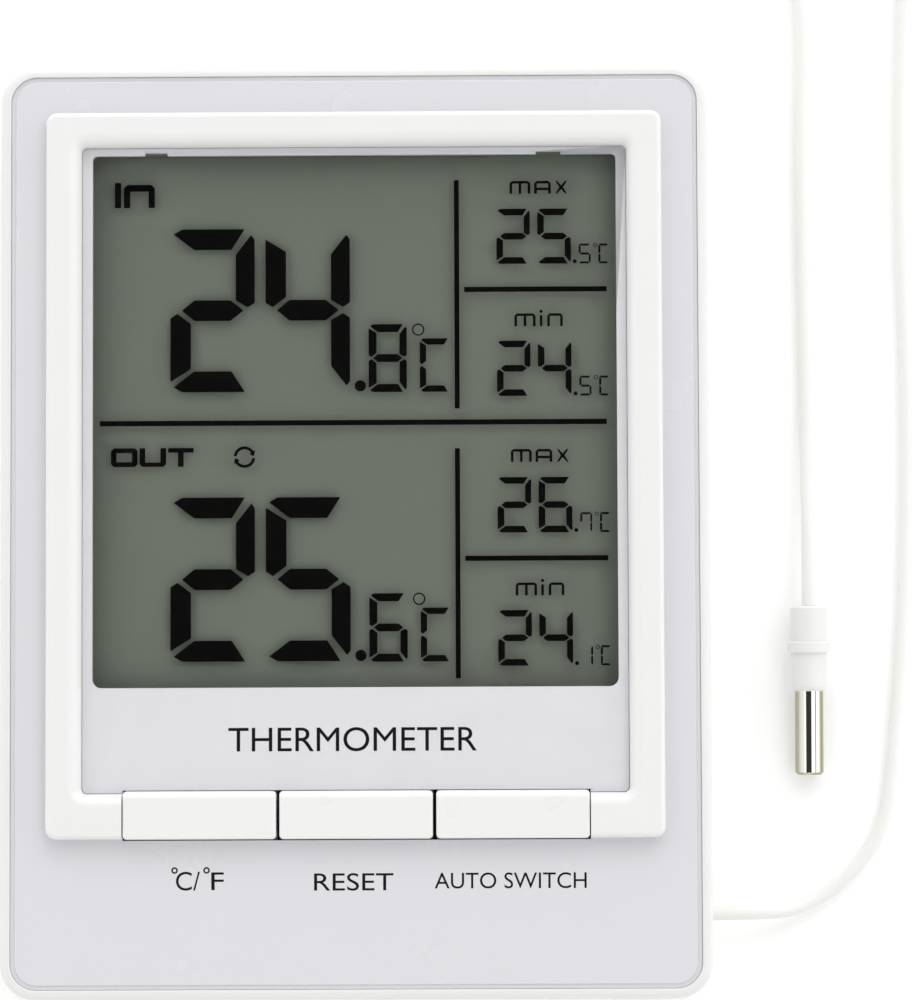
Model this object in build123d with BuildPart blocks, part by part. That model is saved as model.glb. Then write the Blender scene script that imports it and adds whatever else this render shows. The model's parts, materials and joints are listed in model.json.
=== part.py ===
from build123d import *
import math
import os

# Maximum and minimum thermometer: a flat desk or wall unit with a wired outdoor probe.
#
# The unit lies on its back. +Z points out of the display, +Y to the top of the display and +X to
# its right. The origin is the centre of the back face, on the surface that the unit lies on.
# Millimetres.

# ---------------------------------------------------------------- driving dimensions
CASE_WIDTH = 100.0
CASE_HEIGHT = 131.8
CASE_CORNER = 5.2
PART_LINE = 10.0            # height of the joint between rear and front housing
RIM_TOP = 19.0
PLATE_TOP = 18.8
FRAME_TOP = 21.2
WALL = 2.0
PLATE_GAP = 0.05            # between the face plate and the rim
GROOVE_WIDTH = 0.65         # step round the edge of the face plate
GROOVE_DEPTH = 0.2

RIM_WIDTH = 1.5
PLATE_THICKNESS = 1.6
DECK_THICKNESS = 1.6

FRAME_WIDTH = 86.75
FRAME_UPPER = 59.05         # y of the raised frame's top edge
FRAME_LOWER = -43.35
FRAME_CORNER = 1.5
VIEW_WIDTH = 76.9           # opening inside the raised frame
VIEW_UPPER = 54.25
VIEW_LOWER = -37.0
SKIRT = 1.25                # how far the raised frame laps over the plate

LCD_WIDTH = 74.0            # opening of the surround
LCD_UPPER = 53.2
LCD_LOWER = -22.15
LCD_UPPER_CORNER = 0.7
LCD_LOWER_CORNER = 1.3
NOTCH_HEIGHT = 0.4
GLASS_WIDTH = 75.8
GLASS_UPPER = 53.95
GLASS_LOWER = -25.4

KEY_WIDTH = 21.45
KEY_PITCH = 21.93
KEY_MIDDLE = 0.13           # x of the middle key
KEY_UPPER = -36.65
KEY_LOWER = -43.4
KEY_SIDE_GAP = 0.15
KEY_CORNER = 0.6

BOARD_BOTTOM = 11.4
BOARD_THICKNESS = 1.6

CELL_DIAMETER = 10.5        # AAA
CELL_LENGTH = 44.5
CELL_X = -6.0
CELL_Y = -55.8
CELL_Z = 7.7
BAY_LOW_X = -33.6
BAY_HIGH_X = 17.8
BAY_HALF_DEPTH = 5.6

LEG_WIDTH = 36.0
LEG_HINGE_Y = 22.0
LEG_HINGE_Z = 1.75
LEG_FREE_Y = -32.0
LEG_THICKNESS = 2.0

KEYHOLE_Y = 47.0
KEYHOLE_RADIUS = 4.2
KEYHOLE_SLOT = 4.4

LEAD_DIAMETER = 2.0
LEAD_HEIGHT = 1.02          # axis height of the lead where it lies on the surface
LEAD_EXIT = (CASE_WIDTH / 2 + 0.4, -54.2, 4.4)

COIL_X = 58.0
COIL_Y = 126.0
COIL_INNER = 12.0           # radius of the innermost turn
COIL_TURNS_ACROSS = 6
COIL_LAYERS = 4
COIL_LIFT = 0.5             # the tie passes under the coil

PROBE_X = 64.65
PROBE_COLLAR_Y = -16.15
BOOT_RADIUS = 2.65
COLLAR_RADIUS = 3.1
SHEATH_RADIUS = 2.05
SHEATH_LENGTH = 12.0

# ---------------------------------------------------------------- worked out from them
PLATE_BOTTOM = PLATE_TOP - PLATE_THICKNESS
DECK_BOTTOM = PLATE_BOTTOM - DECK_THICKNESS
BOARD_TOP = BOARD_BOTTOM + BOARD_THICKNESS
WINDOW_TOP = 19.4
WINDOW_BOTTOM = 18.6
SURROUND_BOTTOM = 17.5
GLASS_STACK = (14.6, 14.9, 16.0, 17.1, 17.3)    # reflector, rear glass, front glass, polariser
KEY_XS = [KEY_MIDDLE + i * KEY_PITCH for i in (-1, 0, 1)]
KEY_ZONE_LOW_X = KEY_XS[0] - KEY_WIDTH / 2 - KEY_SIDE_GAP
KEY_ZONE_HIGH_X = KEY_XS[2] + KEY_WIDTH / 2 + KEY_SIDE_GAP
SWITCH_Y = (KEY_UPPER + KEY_LOWER) / 2
HOUSING_SCREWS = [(x, y) for x in (-44.0, 44.0) for y in (-60.0, 60.0)]
BOARD_SCREWS = [(-30.0, 60.7), (30.0, 60.7), (-37.6, -45.6), (37.6, -45.6)]
COIL_MIDDLE_RADIUS = COIL_INNER + (COIL_TURNS_ACROSS - 1) * LEAD_DIAMETER / 2
COIL_TOP = COIL_LIFT + COIL_LAYERS * LEAD_DIAMETER
COIL_LEAVES_AT = 222.0      # degrees round the coil where the probe's strand leaves it


# ---------------------------------------------------------------- shapes used more than once
def span_box(low, high, mode=Mode.ADD):
    """A box between two corners."""
    size = [b - a for a, b in zip(low, high)]
    with Locations(tuple((a + b) / 2 for a, b in zip(low, high))):
        Box(*size, mode=mode)


def slab(low_xy, high_xy, bottom, top, corner, mode=Mode.ADD):
    """A plate with rounded corners between two heights."""
    width = high_xy[0] - low_xy[0]
    height = high_xy[1] - low_xy[1]
    middle = ((low_xy[0] + high_xy[0]) / 2, (low_xy[1] + high_xy[1]) / 2)
    with BuildSketch(Plane.XY.offset(bottom)) as outline:
        with Locations(middle):
            RectangleRounded(width, height, corner)
    extrude(outline.sketch, amount=top - bottom, mode=mode)


def case_slab(inset, bottom, top, mode=Mode.ADD):
    """A plate with the case's outline, drawn in by inset."""
    half_width = CASE_WIDTH / 2 - inset
    half_height = CASE_HEIGHT / 2 - inset
    corner = max(CASE_CORNER - inset, 1.0)
    slab((-half_width, -half_height), (half_width, half_height), bottom, top, corner, mode)


def posts(places, radius, bottom, top, mode=Mode.ADD):
    """Round posts, or holes, at a list of places."""
    with BuildSketch(Plane.XY.offset(bottom)) as rings:
        with Locations(*places):
            Circle(radius)
    extrude(rings.sketch, amount=top - bottom, mode=mode)


def edges_at(part, height, tolerance=0.01):
    """The edges that lie flat at one height."""
    level = [e for e in part.edges() if abs(e.center().Z - height) < tolerance]
    return [e for e in level if e.bounding_box().size.Z < tolerance]


def bend_radii(points):
    """The largest arc that each corner of a run of points has room for."""
    radii = []
    for before, corner, after in zip(points, points[1:], points[2:]):
        run_in = Vector(*corner) - Vector(*before)
        run_out = Vector(*after) - Vector(*corner)
        turn = math.radians(run_in.get_angle(run_out))
        radii.append(0.45 * min(run_in.length, run_out.length) / math.tan(turn / 2))
    return radii


def lead_tube(points, diameter):
    """A round lead along straight runs joined by tangent arcs, in the part being built."""
    with BuildLine() as route:
        FilletPolyline(*points, radius=bend_radii(points))
    path = route.wire()
    with BuildSketch(Plane(origin=path @ 0, z_dir=path % 0)) as section:
        Circle(diameter / 2)
    sweep(section.sketch, path=path)
    return path.length


def export_piece(builder, name):
    builder.part.label = name
    export_step(builder.part, f"parts/{name}.step")


os.makedirs("parts", exist_ok=True)

# ---------------------------------------------------------------- rear housing
DOOR_LOW_X = BAY_LOW_X - 3.2
DOOR_HIGH_X = BAY_HIGH_X + 3.2
DOOR_UPPER_Y = CELL_Y + BAY_HALF_DEPTH + 3.4
DOOR_THICKNESS = 1.7
DOOR_FIT = 0.2
RAIL = 0.8
BACK_EDGE = 1.8
LEG_FIT = 0.3
LEG_BORDER = 3.6            # width of the thickened floor beside the leg
HINGE_BARREL = 1.6
HINGE_PIN = 1.0
HINGE_PIN_LENGTH = 1.9
VENTS = [(x, 52.0) for x in (-40.0, -37.0, -34.0, -31.0, -28.0)]

with BuildPart() as rear_housing:
    case_slab(0, 0, PART_LINE)
    fillet(edges_at(rear_housing.part, 0), BACK_EDGE)
    chamfer(edges_at(rear_housing.part, PART_LINE), 0.25)
    case_slab(WALL, WALL, PART_LINE, Mode.SUBTRACT)
    # step that takes the front housing's lip
    case_slab(WALL / 2, PART_LINE - 1.4, PART_LINE, Mode.SUBTRACT)
    # thickened floor behind the door, the leg and its hinge
    slab(
        (DOOR_LOW_X - 1.6, -CASE_HEIGHT / 2 + 1.5), (DOOR_HIGH_X + 1.6, DOOR_UPPER_Y + 1.6),
        WALL, 3.4, 0.8,
    )
    for lower_y, height in ((LEG_FREE_Y - 7.0, 3.6), (LEG_HINGE_Y - 4.0, 5.2)):
        slab(
            (-LEG_WIDTH / 2 - LEG_BORDER, lower_y), (LEG_WIDTH / 2 + LEG_BORDER, LEG_HINGE_Y + 4.0),
            WALL, height, 1.0,
        )
    # battery bay: four walls and a roof
    span_box(
        (BAY_LOW_X - 1.2, CELL_Y - BAY_HALF_DEPTH - 1.2, WALL),
        (BAY_HIGH_X + 1.2, CELL_Y + BAY_HALF_DEPTH + 1.2, 14.6),
    )
    # posts for the case screws, and a ring round the keyhole
    posts(HOUSING_SCREWS, 3.3, WALL, PART_LINE - 0.05)
    posts([(0, KEYHOLE_Y)], KEYHOLE_RADIUS + 2.0, 1.0, 3.2)
    span_box(
        (BAY_LOW_X, CELL_Y - BAY_HALF_DEPTH, 0),
        (BAY_HIGH_X, CELL_Y + BAY_HALF_DEPTH, 13.4),
        Mode.SUBTRACT,
    )
    # slots in the bay wall for the contacts' tabs
    for slot_x in (BAY_LOW_X, BAY_HIGH_X - 0.5):
        span_box(
            (slot_x, CELL_Y + BAY_HALF_DEPTH - 1, CELL_Z - 1.4),
            (slot_x + 0.5, CELL_Y + BAY_HALF_DEPTH + 2, CELL_Z + 1.4),
            Mode.SUBTRACT,
        )
    # recess for the sliding door, open at the bottom edge, with a groove down each side
    span_box(
        (DOOR_LOW_X - DOOR_FIT, -CASE_HEIGHT / 2 - 1, -1),
        (DOOR_HIGH_X + DOOR_FIT, DOOR_UPPER_Y + DOOR_FIT, DOOR_THICKNESS + DOOR_FIT),
        Mode.SUBTRACT,
    )
    span_box(
        (DOOR_LOW_X - RAIL - DOOR_FIT, -CASE_HEIGHT / 2 - 1, DOOR_THICKNESS - RAIL - DOOR_FIT),
        (DOOR_HIGH_X + RAIL + DOOR_FIT, DOOR_UPPER_Y + DOOR_FIT, DOOR_THICKNESS + DOOR_FIT),
        Mode.SUBTRACT,
    )
    # recess for the leg, its hinge barrel and a fingertip
    slab(
        (-LEG_WIDTH / 2 - LEG_FIT, LEG_FREE_Y - LEG_FIT),
        (LEG_WIDTH / 2 + LEG_FIT, LEG_HINGE_Y + HINGE_BARREL + LEG_FIT),
        -1, LEG_THICKNESS + LEG_FIT, 0.8, Mode.SUBTRACT,
    )
    span_box(
        (-LEG_WIDTH / 2 - LEG_FIT, LEG_HINGE_Y - HINGE_BARREL - LEG_FIT, -1),
        (
            LEG_WIDTH / 2 + LEG_FIT,
            LEG_HINGE_Y + HINGE_BARREL + LEG_FIT,
            LEG_HINGE_Z + HINGE_BARREL + LEG_FIT,
        ),
        Mode.SUBTRACT,
    )
    slab((-8, LEG_FREE_Y - 5.0), (8, LEG_FREE_Y + 1.0), -1, 1.5, 2.4, Mode.SUBTRACT)
    with Locations(Location((0, LEG_HINGE_Y, LEG_HINGE_Z), (0, 90, 0))):
        Cylinder(HINGE_PIN + 0.06, LEG_WIDTH + 2 * HINGE_PIN_LENGTH + 0.4, mode=Mode.SUBTRACT)
    # keyhole for hanging: round entry and a slot upwards
    posts([(0, KEYHOLE_Y)], KEYHOLE_RADIUS, -1, 6.0, Mode.SUBTRACT)
    slab(
        (-KEYHOLE_SLOT / 2, KEYHOLE_Y), (KEYHOLE_SLOT / 2, KEYHOLE_Y + 9.0),
        -1, 6.0, KEYHOLE_SLOT / 2 - 0.01, Mode.SUBTRACT,
    )
    # vents for the room sensor
    with BuildSketch(Plane.XY) as vent_slots:
        with Locations(*VENTS):
            SlotOverall(12.0, 1.3, rotation=90)
    extrude(vent_slots.sketch, amount=WALL + 1, both=True, mode=Mode.SUBTRACT)
    # case screws: clearance holes with a deep counterbore
    posts(HOUSING_SCREWS, 1.5, -1, PART_LINE, Mode.SUBTRACT)
    posts(HOUSING_SCREWS, 2.9, -1, 4.0, Mode.SUBTRACT)
    # hole for the lead's gland
    with Locations(Location((CASE_WIDTH / 2 - 1, LEAD_EXIT[1], LEAD_EXIT[2]), (0, 90, 0))):
        Cylinder(1.9, 6.0, mode=Mode.SUBTRACT)
export_piece(rear_housing, "rear_housing")

# ---------------------------------------------------------------- battery door
DOOR_LOWER_Y = -CASE_HEIGHT / 2

with BuildPart() as battery_door:
    case_slab(0, 0, PART_LINE)
    fillet(edges_at(battery_door.part, 0), BACK_EDGE)
    span_box(
        (DOOR_LOW_X, DOOR_LOWER_Y - 1, -1), (DOOR_HIGH_X, DOOR_UPPER_Y, DOOR_THICKNESS),
        Mode.INTERSECT,
    )
    span_box(
        (DOOR_LOW_X - RAIL, DOOR_LOWER_Y + 4.0, DOOR_THICKNESS - RAIL),
        (DOOR_HIGH_X + RAIL, DOOR_UPPER_Y - 2.0, DOOR_THICKNESS),
    )
    # grip ribs are left between shallow grooves
    with Locations(*[((DOOR_LOW_X + DOOR_HIGH_X) / 2, -61.0 + 1.5 * i, 0) for i in range(5)]):
        Box(16.0, 0.8, 0.9, mode=Mode.SUBTRACT)
export_piece(battery_door, "battery_door")

# ---------------------------------------------------------------- fold-out stand
with BuildPart() as stand_leg:
    slab((-LEG_WIDTH / 2, LEG_FREE_Y), (LEG_WIDTH / 2, LEG_HINGE_Y), 0, LEG_THICKNESS, 0.6)
    with BuildSketch(Plane.XY) as windows:
        with Locations((0, -8.0)):
            RectangleRounded(22.0, 30.0, 2.0)
    extrude(windows.sketch, amount=0.7, mode=Mode.SUBTRACT)
    with Locations(Location((0, LEG_HINGE_Y, LEG_HINGE_Z), (0, 90, 0))):
        Cylinder(HINGE_BARREL, LEG_WIDTH)
        Cylinder(HINGE_PIN, LEG_WIDTH + 2 * HINGE_PIN_LENGTH)
export_piece(stand_leg, "stand_leg")

# ---------------------------------------------------------------- front housing
DECK_OPENING_HALF = FRAME_WIDTH / 2 - SKIRT
DECK_OPENING_UPPER = FRAME_UPPER - SKIRT
DECK_OPENING_LOWER = FRAME_LOWER + SKIRT
KEY_SLOT_LOWER = KEY_LOWER - KEY_SIDE_GAP


def display_opening(bottom, top, spread):
    """The opening for the frame's skirt, with the wider notch that the keys pass through."""
    slab(
        (-DECK_OPENING_HALF - spread, DECK_OPENING_LOWER - spread),
        (DECK_OPENING_HALF + spread, DECK_OPENING_UPPER + spread),
        bottom, top, 1.0, Mode.SUBTRACT,
    )
    span_box(
        (KEY_ZONE_LOW_X, KEY_SLOT_LOWER, bottom),
        (KEY_ZONE_HIGH_X, DECK_OPENING_LOWER + 2, top),
        Mode.SUBTRACT,
    )


with BuildPart() as front_housing:
    case_slab(0, PART_LINE, RIM_TOP)
    fillet(edges_at(front_housing.part, RIM_TOP), 1.1)
    chamfer(edges_at(front_housing.part, PART_LINE), 0.25)
    case_slab(RIM_WIDTH, PLATE_BOTTOM, RIM_TOP, Mode.SUBTRACT)
    rim_edges = [e for e in front_housing.edges(Select.LAST) if e.center().Z > RIM_TOP - 0.01]
    fillet(rim_edges, 0.15)
    case_slab(WALL, PART_LINE, DECK_BOTTOM, Mode.SUBTRACT)
    # lip that drops inside the rear housing
    case_slab(WALL / 2 + 0.1, PART_LINE - 1.2, PART_LINE + 0.6)
    case_slab(WALL + 0.1, PART_LINE - 1.2, PART_LINE + 0.6, Mode.SUBTRACT)
    display_opening(DECK_BOTTOM - 1, PLATE_BOTTOM + 1, 0.1)
    posts(HOUSING_SCREWS, 3.0, PART_LINE, DECK_BOTTOM + 0.2)
    posts(BOARD_SCREWS, 2.2, BOARD_TOP, DECK_BOTTOM + 0.2)
    posts(HOUSING_SCREWS, 1.05, PART_LINE - 1, DECK_BOTTOM - 0.4, Mode.SUBTRACT)
    posts(BOARD_SCREWS, 0.8, BOARD_TOP - 1, DECK_BOTTOM - 0.2, Mode.SUBTRACT)
export_piece(front_housing, "front_housing")

# ---------------------------------------------------------------- face plate
with BuildPart() as front_plate:
    case_slab(RIM_WIDTH + PLATE_GAP, PLATE_BOTTOM, PLATE_TOP - GROOVE_DEPTH)
    case_slab(RIM_WIDTH + GROOVE_WIDTH, PLATE_BOTTOM, PLATE_TOP)
    fillet(edges_at(front_plate.part, PLATE_TOP), 0.15)
    display_opening(PLATE_BOTTOM - 1, PLATE_TOP + 1, 0.1)
export_piece(front_plate, "front_plate")

# ---------------------------------------------------------------- raised frame
FRAME_SHOULDER = 1.8        # radius of the slope down to the window

with BuildPart() as bezel_frame:
    slab(
        (-FRAME_WIDTH / 2, FRAME_LOWER), (FRAME_WIDTH / 2, FRAME_UPPER),
        PLATE_TOP, FRAME_TOP, FRAME_CORNER,
    )
    fillet(edges_at(bezel_frame.part, FRAME_TOP), 0.75)
    slab(
        (-VIEW_WIDTH / 2, VIEW_LOWER), (VIEW_WIDTH / 2, VIEW_UPPER),
        PLATE_TOP - 1, FRAME_TOP + 1, 0.8, Mode.SUBTRACT,
    )
    view_edges = [e for e in bezel_frame.edges(Select.LAST) if e.center().Z > FRAME_TOP - 0.01]
    fillet(view_edges, FRAME_SHOULDER)
    # skirt that goes down through the plate
    slab(
        (-DECK_OPENING_HALF, DECK_OPENING_LOWER), (DECK_OPENING_HALF, DECK_OPENING_UPPER),
        DECK_BOTTOM + 0.2, PLATE_TOP + 0.2, 0.9,
    )
    slab(
        (-VIEW_WIDTH / 2, VIEW_LOWER), (VIEW_WIDTH / 2, VIEW_UPPER),
        DECK_BOTTOM - 1, PLATE_TOP + 1, 0.8, Mode.SUBTRACT,
    )
    # the keys interrupt the bottom bar
    span_box(
        (KEY_ZONE_LOW_X, FRAME_LOWER - 5, DECK_BOTTOM - 1),
        (KEY_ZONE_HIGH_X, VIEW_LOWER + 5, FRAME_TOP + 1),
        Mode.SUBTRACT,
    )
export_piece(bezel_frame, "bezel_frame")


# ---------------------------------------------------------------- window and surround
def panel(bottom, top):
    """The pane's outline, with its lower edge notched where the keys stand."""
    slab(
        (-VIEW_WIDTH / 2 + 0.08, VIEW_LOWER + 0.08), (VIEW_WIDTH / 2 - 0.08, VIEW_UPPER - 0.08),
        bottom, top, 0.75,
    )
    span_box(
        (KEY_ZONE_LOW_X, VIEW_LOWER - 2, bottom - 1),
        (KEY_ZONE_HIGH_X, KEY_UPPER + 0.12, top + 1),
        Mode.SUBTRACT,
    )


NOTCHES = [(-29.6, -26.4), (25.7, 29.2)]

with BuildPart() as display_window:
    panel(WINDOW_BOTTOM, WINDOW_TOP)
export_piece(display_window, "display_window")

with BuildPart() as display_surround:
    panel(SURROUND_BOTTOM, WINDOW_BOTTOM)
    with BuildSketch(Plane.XY.offset(SURROUND_BOTTOM - 1)) as opening:
        with Locations((0, (LCD_UPPER + LCD_LOWER) / 2)):
            Rectangle(LCD_WIDTH, LCD_UPPER - LCD_LOWER)
        fillet(opening.vertices().group_by(Axis.Y)[0], LCD_LOWER_CORNER)
        fillet(opening.vertices().group_by(Axis.Y)[-1], LCD_UPPER_CORNER)
        for notch_low, notch_high in NOTCHES:
            with Locations(((notch_low + notch_high) / 2, LCD_UPPER)):
                Rectangle(notch_high - notch_low, 2 * NOTCH_HEIGHT)
    extrude(opening.sketch, amount=4, mode=Mode.SUBTRACT)
export_piece(display_surround, "display_surround")

# ---------------------------------------------------------------- display cell
REFLECTOR_Z, REAR_GLASS_Z, FRONT_GLASS_Z, POLARISER_Z, POLARISER_TOP = GLASS_STACK
GLASS_HALF = GLASS_WIDTH / 2
LEDGE = 2.6                 # the front glass overhangs the rear glass by this at top and bottom

with BuildPart() as lcd_reflector:
    slab(
        (-GLASS_HALF, GLASS_LOWER + LEDGE), (GLASS_HALF, GLASS_UPPER - 0.6),
        REFLECTOR_Z, REAR_GLASS_Z, 0.3,
    )
export_piece(lcd_reflector, "lcd_reflector")

with BuildPart() as lcd_rear_glass:
    slab(
        (-GLASS_HALF, GLASS_LOWER + LEDGE), (GLASS_HALF, GLASS_UPPER - 0.6),
        REAR_GLASS_Z, FRONT_GLASS_Z, 0.2,
    )
export_piece(lcd_rear_glass, "lcd_rear_glass")

with BuildPart() as lcd_front_glass:
    slab((-GLASS_HALF, GLASS_LOWER), (GLASS_HALF, GLASS_UPPER), FRONT_GLASS_Z, POLARISER_Z, 0.2)
export_piece(lcd_front_glass, "lcd_front_glass")

with BuildPart() as lcd_polariser:
    slab(
        (-GLASS_HALF + 0.3, GLASS_LOWER + LEDGE), (GLASS_HALF - 0.3, GLASS_UPPER - 0.3),
        POLARISER_Z, POLARISER_TOP, 0.2,
    )
export_piece(lcd_polariser, "lcd_polariser")

HOLDER_UPPER = 57.2
HOLDER_LOWER = -30.0

with BuildPart() as lcd_holder:
    slab((-37.8, HOLDER_LOWER), (37.8, HOLDER_UPPER), BOARD_TOP, REFLECTOR_Z, 1.0)
    for low_xy, high_xy in (
        ((-GLASS_HALF + 2, GLASS_LOWER + 4.2), (GLASS_HALF - 2, GLASS_UPPER - 2)),
        ((-36.5, GLASS_LOWER - 0.2), (36.5, GLASS_LOWER + 2.4)),
    ):
        span_box((*low_xy, BOARD_TOP - 1), (*high_xy, REFLECTOR_Z + 1), Mode.SUBTRACT)
    # end bars that keep the glass from sliding
    span_box((-30, GLASS_UPPER + 0.2, BOARD_TOP), (30, HOLDER_UPPER, DECK_BOTTOM))
    span_box((-30, HOLDER_LOWER, BOARD_TOP), (30, GLASS_LOWER - 0.2, POLARISER_Z))
export_piece(lcd_holder, "lcd_holder")

with BuildPart() as contact_strip:
    span_box((-35.5, GLASS_LOWER + 0.2, BOARD_TOP), (35.5, GLASS_LOWER + 2.2, FRONT_GLASS_Z))
    fillet(contact_strip.edges().filter_by(Axis.X), 0.25)
export_piece(contact_strip, "contact_strip")

# ---------------------------------------------------------------- circuit board
with BuildPart() as circuit_board:
    slab((-40.6, -48.2), (40.6, 62.6), BOARD_BOTTOM, BOARD_TOP, 1.0)
    posts(BOARD_SCREWS, 1.15, 0, 30, Mode.SUBTRACT)
export_piece(circuit_board, "circuit_board")

with BuildPart() as chip_cap:
    posts([(0, 0)], 7.5, BOARD_BOTTOM - 2.0, BOARD_BOTTOM)
    fillet(edges_at(chip_cap.part, BOARD_BOTTOM - 2.0), 1.8)
export_piece(chip_cap, "chip_cap")

with BuildPart() as quartz_crystal:
    with Locations(Location((16.0, 6.0, BOARD_BOTTOM - 1.6), (90, 0, 0))):
        Cylinder(1.55, 8.0)
    fillet(quartz_crystal.edges().sort_by(Axis.Y)[0], 0.5)
    with Locations((15.5, 11.4, BOARD_BOTTOM - 1.6), (16.5, 11.4, BOARD_BOTTOM - 1.6)):
        Box(0.35, 2.8, 0.35)
    with Locations((15.5, 12.6, BOARD_BOTTOM - 0.8), (16.5, 12.6, BOARD_BOTTOM - 0.8)):
        Box(0.35, 0.35, 1.6)
export_piece(quartz_crystal, "quartz_crystal")


def chips(places, length, width, height):
    """Small surface parts on the underside of the board."""
    with Locations(*[(x, y, BOARD_BOTTOM - height / 2) for x, y in places]):
        Box(length, width, height)


RESISTOR_ROW = [(-24.0 + 4.5 * i, -20.0) for i in range(5)]
RESISTOR_COLUMN = [(22.0, -6.0 - 4.0 * i) for i in range(3)]

with BuildPart() as board_resistors:
    chips(RESISTOR_ROW + RESISTOR_COLUMN, 2.0, 1.25, 0.6)
export_piece(board_resistors, "board_resistors")

with BuildPart() as board_capacitors:
    chips([(-18.0, 12.0), (-18.0, 17.0), (11.0, 20.0), (5.0, 20.0), (26.0, 26.0)], 3.2, 1.6, 1.2)
export_piece(board_capacitors, "board_capacitors")


def fixings(places, head_radius, head_bottom, head_height, shank_radius, shank_top):
    """Pan head screws that point up, with a cross slot in each head."""
    posts(places, head_radius, head_bottom, head_bottom + head_height)
    posts(places, shank_radius, head_bottom + head_height, shank_top)
    with Locations(*[(x, y, head_bottom) for x, y in places]):
        Box(head_radius * 1.3, 0.6, 1.0, mode=Mode.SUBTRACT)
        Box(0.6, head_radius * 1.3, 1.0, mode=Mode.SUBTRACT)


with BuildPart() as board_screws:
    fixings(BOARD_SCREWS, 1.9, BOARD_BOTTOM - 1.3, 1.3, 1.0, DECK_BOTTOM - 0.4)
export_piece(board_screws, "board_screws")

with BuildPart() as housing_screws:
    fixings(HOUSING_SCREWS, 2.6, 2.2, 1.8, 1.3, DECK_BOTTOM - 0.8)
export_piece(housing_screws, "housing_screws")

# ---------------------------------------------------------------- keys and switches
SWITCH_SIZE = 3.6
SWITCH_TOP = 15.6
PLUNGER_RADIUS = 1.5
PLUNGER_TOP = 17.0
KEY_SHELL = 1.2
FLANGE = 0.85               # how far the flanges stand out under the deck
FLANGE_BOTTOM = 14.3
KEY_SHOULDER = 1.1          # radius of the long upper edge
FLANGE_TOP = DECK_BOTTOM - 0.2

SWITCHES = [(x, SWITCH_Y) for x in KEY_XS]

with BuildPart() as switch_bases:
    with Locations(*[(x, y, (BOARD_TOP + SWITCH_TOP) / 2) for x, y in SWITCHES]):
        Box(SWITCH_SIZE, SWITCH_SIZE, SWITCH_TOP - BOARD_TOP)
    posts(SWITCHES, PLUNGER_RADIUS + 0.08, BOARD_TOP + 0.3, SWITCH_TOP + 1, Mode.SUBTRACT)
export_piece(switch_bases, "switch_bases")

with BuildPart() as switch_domes:
    with BuildSketch(Plane.XZ) as dome_disc:
        with BuildLine():
            ThreePointArc((0, 13.75), (0.75, 13.65), (1.4, 13.4))
            Line((1.4, 13.4), (1.4, 13.3))
            Line((1.4, 13.3), (0, 13.3))
            Line((0, 13.3), (0, 13.75))
        make_face()
    disc = revolve(dome_disc.sketch, axis=Axis.Z, mode=Mode.PRIVATE)
    with Locations(*[(x, y, 0) for x, y in SWITCHES]):
        add(disc)
export_piece(switch_domes, "switch_domes")

for key_x, key_name in zip(KEY_XS, ("unit", "reset", "auto")):
    low_x = key_x - KEY_WIDTH / 2
    high_x = key_x + KEY_WIDTH / 2

    with BuildPart() as key:
        slab((low_x, KEY_LOWER), (high_x, KEY_UPPER), FLANGE_TOP - 0.2, FRAME_TOP, KEY_CORNER)
        fillet(edges_at(key.part, FRAME_TOP), 0.3)
        # the long upper edge is rounded like the frame's slope
        with BuildSketch(Plane.YZ.offset(low_x - 1)) as shoulder:
            with BuildLine():
                RadiusArc(
                    (KEY_UPPER, FRAME_TOP - KEY_SHOULDER), (KEY_UPPER - KEY_SHOULDER, FRAME_TOP),
                    -KEY_SHOULDER,
                )
                Polyline(
                    (KEY_UPPER - KEY_SHOULDER, FRAME_TOP), (KEY_UPPER - KEY_SHOULDER, FRAME_TOP + 1),
                    (KEY_UPPER + 1, FRAME_TOP + 1), (KEY_UPPER + 1, FRAME_TOP - KEY_SHOULDER),
                    (KEY_UPPER, FRAME_TOP - KEY_SHOULDER),
                )
            make_face()
        extrude(shoulder.sketch, amount=KEY_WIDTH + 2, mode=Mode.SUBTRACT)
        span_box(
            (low_x + KEY_SHELL, KEY_LOWER + KEY_SHELL, 0),
            (high_x - KEY_SHELL, KEY_UPPER - KEY_SHELL, FRAME_TOP - 1.5),
            Mode.SUBTRACT,
        )
        # flanges under the deck keep the key from falling out
        for low_y, high_y in (
            (KEY_UPPER - KEY_SHELL, KEY_UPPER + FLANGE),
            (KEY_LOWER - FLANGE, KEY_LOWER + KEY_SHELL),
        ):
            span_box((low_x, low_y, FLANGE_BOTTOM), (high_x, high_y, FLANGE_TOP))
        posts([(key_x, SWITCH_Y)], 1.6, PLUNGER_TOP, FRAME_TOP - 1.4)
    export_piece(key, f"key_{key_name}")

    with BuildPart() as plunger:
        posts([(key_x, SWITCH_Y)], PLUNGER_RADIUS, 14.5, PLUNGER_TOP)
    export_piece(plunger, f"plunger_{key_name}")

# ---------------------------------------------------------------- battery and contacts
with BuildPart() as battery_cell:
    with BuildSketch(Plane.XZ.offset(-CELL_Y)) as half_cell:
        with BuildLine():
            Polyline(
                (CELL_X - CELL_LENGTH / 2, CELL_Z),
                (CELL_X - CELL_LENGTH / 2, CELL_Z + CELL_DIAMETER / 2),
                (CELL_X + CELL_LENGTH / 2 - 1.0, CELL_Z + CELL_DIAMETER / 2),
                (CELL_X + CELL_LENGTH / 2 - 1.0, CELL_Z + 1.9),
                (CELL_X + CELL_LENGTH / 2, CELL_Z + 1.9),
                (CELL_X + CELL_LENGTH / 2, CELL_Z),
                close=True,
            )
        make_face()
    revolve(half_cell.sketch, axis=Axis((0, CELL_Y, CELL_Z), (1, 0, 0)))
export_piece(battery_cell, "battery_cell")

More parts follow.
